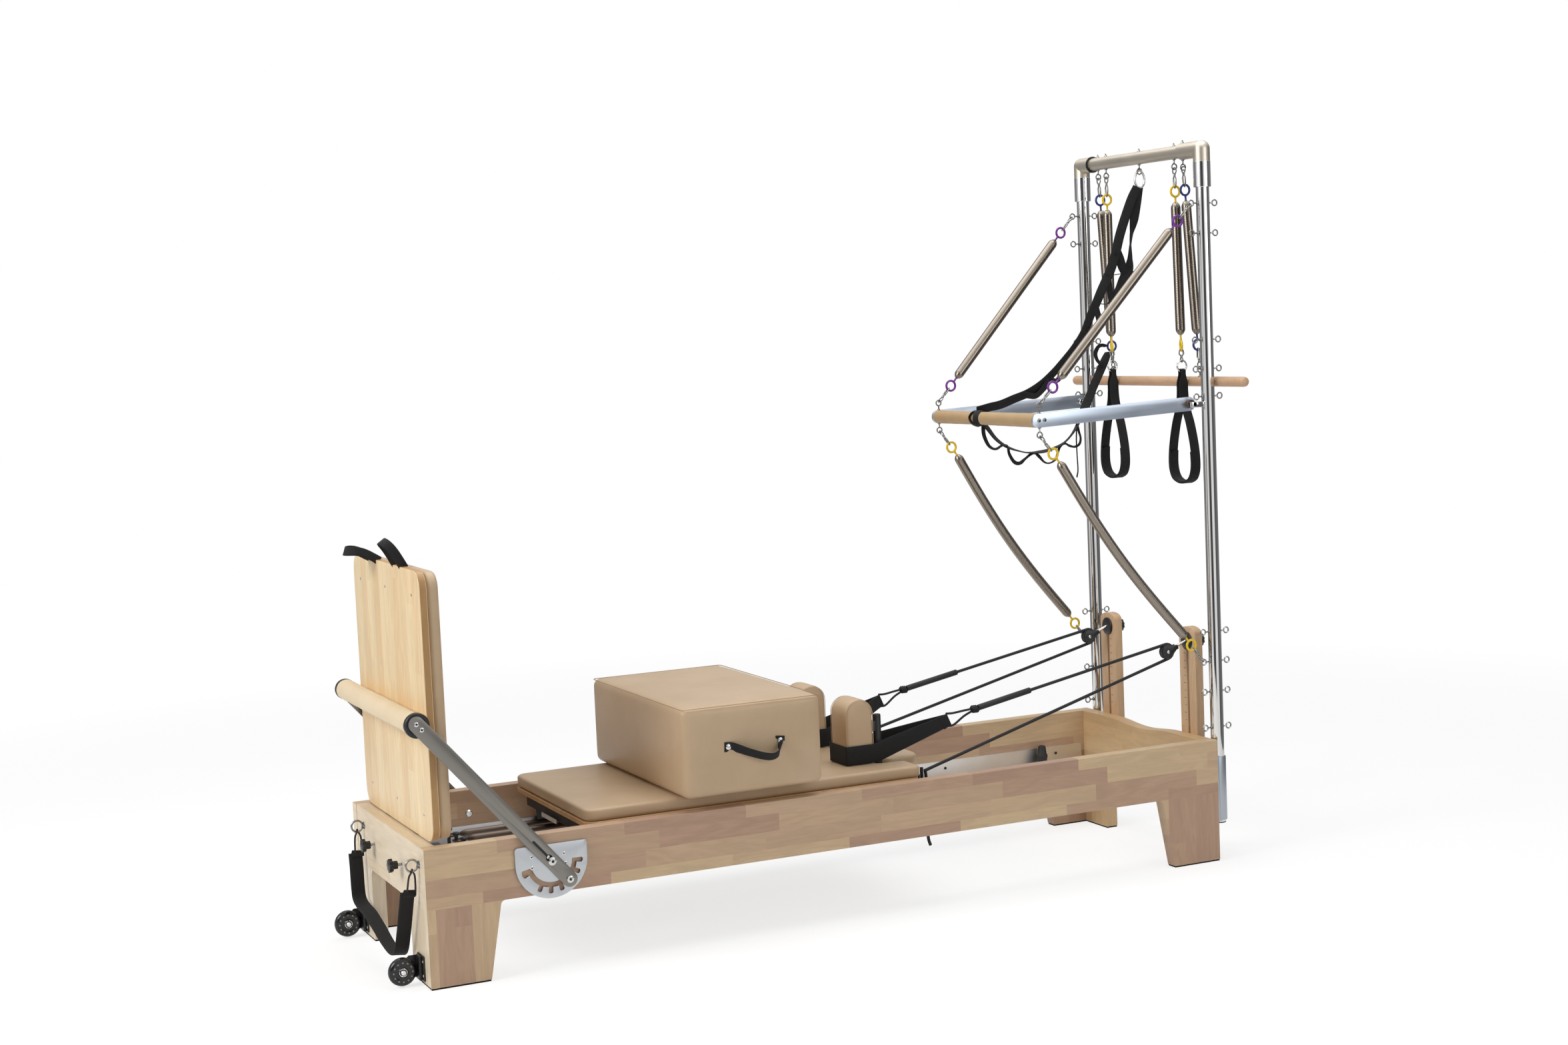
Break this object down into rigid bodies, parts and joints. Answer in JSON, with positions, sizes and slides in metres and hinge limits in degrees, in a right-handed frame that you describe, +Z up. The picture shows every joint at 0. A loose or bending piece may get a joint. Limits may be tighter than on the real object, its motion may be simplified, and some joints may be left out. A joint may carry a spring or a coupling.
{
  "type": "pilates reformer with tower",
  "caption": "Wooden pilates reformer with a sprung carriage, jump board, foot bar, sitting box, ropes and a tower with push-through bar and springs.",
  "frame": {"origin": "centre of the whole machine's bounding box, on the floor", "axes": "+X from the foot end to the tower, +Y towards the far side rail, +Z up"},
  "size_m": [2.5205, 0.9, 2.0705],
  "materials": {
    "beech": "satin",
    "rubber": "matte",
    "aluminium": "satin",
    "brushed_steel": "brushed",
    "chrome": "polished",
    "black_steel": "satin",
    "black_plastic": "matte",
    "leather": "satin",
    "webbing": "woven",
    "spring_steel": "satin"
  },
  "bodies": {
    "frame": {"side_rail_near": "beech", "side_rail_far": "beech", "foot_end_panel": "beech", "head_end_panel": "beech", "foot_pad_foot_near": "rubber", "foot_pad_foot_far": "rubber", "foot_pad_head_near": "rubber", "foot_pad_head_far": "rubber", "track_near": "aluminium", "track_far": "aluminium", "spring_anchor_bar": "black_steel", "quadrant_plate_near": "aluminium", "quadrant_plate_far": "aluminium", "caster_bracket_near": "black_steel", "caster_bracket_far": "black_steel", "riser_near": "beech", "riser_far": "beech", "upright_near": "chrome", "upright_far": "chrome", "tower_top_bar": "chrome", "safety_strap": "webbing", "foot_strap": "webbing", "pulley_block_near": "black_plastic", "pulley_block_far": "black_plastic", "carriage_springs": "spring_steel", "rope_near": "webbing", "rope_far": "webbing", "push_spring_upper_near": "spring_steel", "push_spring_upper_far": "spring_steel", "push_spring_lower_near": "spring_steel", "push_spring_lower_far": "spring_steel", "leg_spring_near": "spring_steel", "leg_spring_far": "spring_steel", "arm_spring_near": "spring_steel", "arm_spring_far": "spring_steel"},
    "carriage": {"carriage_deck": "beech", "carriage_frame": "black_steel", "carriage_pad": "leather"},
    "wheels_foot": {"wheelset_foot": "black_plastic"},
    "wheels_head": {"wheelset_head": "black_plastic"},
    "head_support": {"headrest": "leather"},
    "rest_near": {"shoulder_rest_near": "leather"},
    "rest_far": {"shoulder_rest_far": "leather"},
    "box": {"sitting_box": "leather"},
    "foot_bar": {"foot_bar_frame": "brushed_steel", "foot_bar_grip": "leather"},
    "jump_board": {"jump_board_panel": "beech", "jump_board_pad": "leather"},
    "knob_near": {"star_knob_near": "black_plastic"},
    "knob_far": {"star_knob_far": "black_plastic"},
    "caster_near": {"caster_wheel_near": "rubber"},
    "caster_far": {"caster_wheel_far": "rubber"},
    "sheave_near": {"pulley_sheave_near": "black_plastic"},
    "sheave_far": {"pulley_sheave_far": "black_plastic"},
    "push_bar": {"push_through_frame": "aluminium", "push_through_handle": "leather"},
    "roll_bar": {"roll_down_bar": "beech"},
    "loop_near": {"loop_handle_near": "webbing"},
    "loop_far": {"loop_handle_far": "webbing"}
  },
  "joints": [
    {"name": "carriage_slide", "type": "slide", "parent": "frame", "child": "carriage", "axis": [1, 0, 0], "range_m": [0, 0.6], "stiffness_N_per_m": 300, "springref_m": -0.1, "deforming": ["carriage_springs", "rope_near", "rope_far"]},
    {"name": "wheel_spin_foot", "type": "hinge", "parent": "carriage", "child": "wheels_foot", "pos_m": [-0.65225, 0, 0.2343], "axis": [0, 1, 0], "range_deg": [0, 1240]},
    {"name": "wheel_spin_head", "type": "hinge", "parent": "carriage", "child": "wheels_head", "pos_m": [0.12775, 0, 0.2343], "axis": [0, 1, 0], "range_deg": [0, 1240]},
    {"name": "headrest_tilt", "type": "hinge", "parent": "carriage", "child": "head_support", "pos_m": [0.20175, 0, 0.3571], "axis": [0, -1, 0], "range_deg": [0, 25]},
    {"name": "shoulder_rest_near_lift", "type": "slide", "parent": "carriage", "child": "rest_near", "axis": [0, 0, 1], "range_m": [0, 0.1]},
    {"name": "shoulder_rest_far_lift", "type": "slide", "parent": "carriage", "child": "rest_far", "axis": [0, 0, 1], "range_m": [0, 0.1]},
    {"name": "box_lift", "type": "slide", "parent": "carriage", "child": "box", "axis": [0, 0, 1], "range_m": [0, 0.2]},
    {"name": "foot_bar_pivot", "type": "hinge", "parent": "frame", "child": "foot_bar", "pos_m": [-0.84705, 0, 0.2847], "axis": [0, -1, 0], "range_deg": [0, 44.4]},
    {"name": "jump_board_lift", "type": "slide", "parent": "frame", "child": "jump_board", "axis": [0, 0, 1], "range_m": [0, 0.1]},
    {"name": "knob_near_spin", "type": "hinge", "parent": "frame", "child": "knob_near", "pos_m": [-1.17225, -0.135, 0.277], "axis": [1, 0, 0], "continuous": true},
    {"name": "knob_far_spin", "type": "hinge", "parent": "frame", "child": "knob_far", "pos_m": [-1.17225, 0.135, 0.277], "axis": [1, 0, 0], "continuous": true},
    {"name": "caster_near_spin", "type": "hinge", "parent": "frame", "child": "caster_near", "pos_m": [-1.22425, -0.275, 0.039], "axis": [0, 1, 0], "continuous": true},
    {"name": "caster_far_spin", "type": "hinge", "parent": "frame", "child": "caster_far", "pos_m": [-1.22425, 0.275, 0.039], "axis": [0, 1, 0], "continuous": true},
    {"name": "sheave_near_spin", "type": "hinge", "parent": "frame", "child": "sheave_near", "pos_m": [1.11275, -0.212, 0.603], "axis": [0, 1, 0], "continuous": true},
    {"name": "sheave_far_spin", "type": "hinge", "parent": "frame", "child": "sheave_far", "pos_m": [1.11275, 0.212, 0.603], "axis": [0, 1, 0], "continuous": true},
    {"name": "push_through_pivot", "type": "hinge", "parent": "frame", "child": "push_bar", "pos_m": [1.16075, 0, 1.325], "axis": [0, 1, 0], "range_deg": [-35, 35], "stiffness_Nm_per_rad": 60, "springref_deg": 6.88, "deforming": ["push_spring_upper_near", "push_spring_upper_far", "push_spring_lower_near", "push_spring_lower_far", "safety_strap"]},
    {"name": "roll_bar_pull", "type": "slide", "parent": "frame", "child": "roll_bar", "axis": [0.8, 0, -0.6], "range_m": [0, 0.25], "stiffness_N_per_m": 160, "springref_m": -0.05, "deforming": ["leg_spring_near", "leg_spring_far"]},
    {"name": "loop_near_pull", "type": "slide", "parent": "frame", "child": "loop_near", "axis": [0, 0, -1], "range_m": [0, 0.25], "stiffness_N_per_m": 100, "springref_m": -0.05, "deforming": ["arm_spring_near"]},
    {"name": "loop_far_pull", "type": "slide", "parent": "frame", "child": "loop_far", "axis": [0, 0, -1], "range_m": [0, 0.25], "stiffness_N_per_m": 100, "springref_m": -0.05, "deforming": ["arm_spring_far"]}
  ],
  "couplings": [
    {"joint": "wheel_spin_foot", "follows": "carriage_slide", "rad_per_m": 35.714},
    {"joint": "wheel_spin_head", "follows": "carriage_slide", "rad_per_m": 35.714}
  ]
}
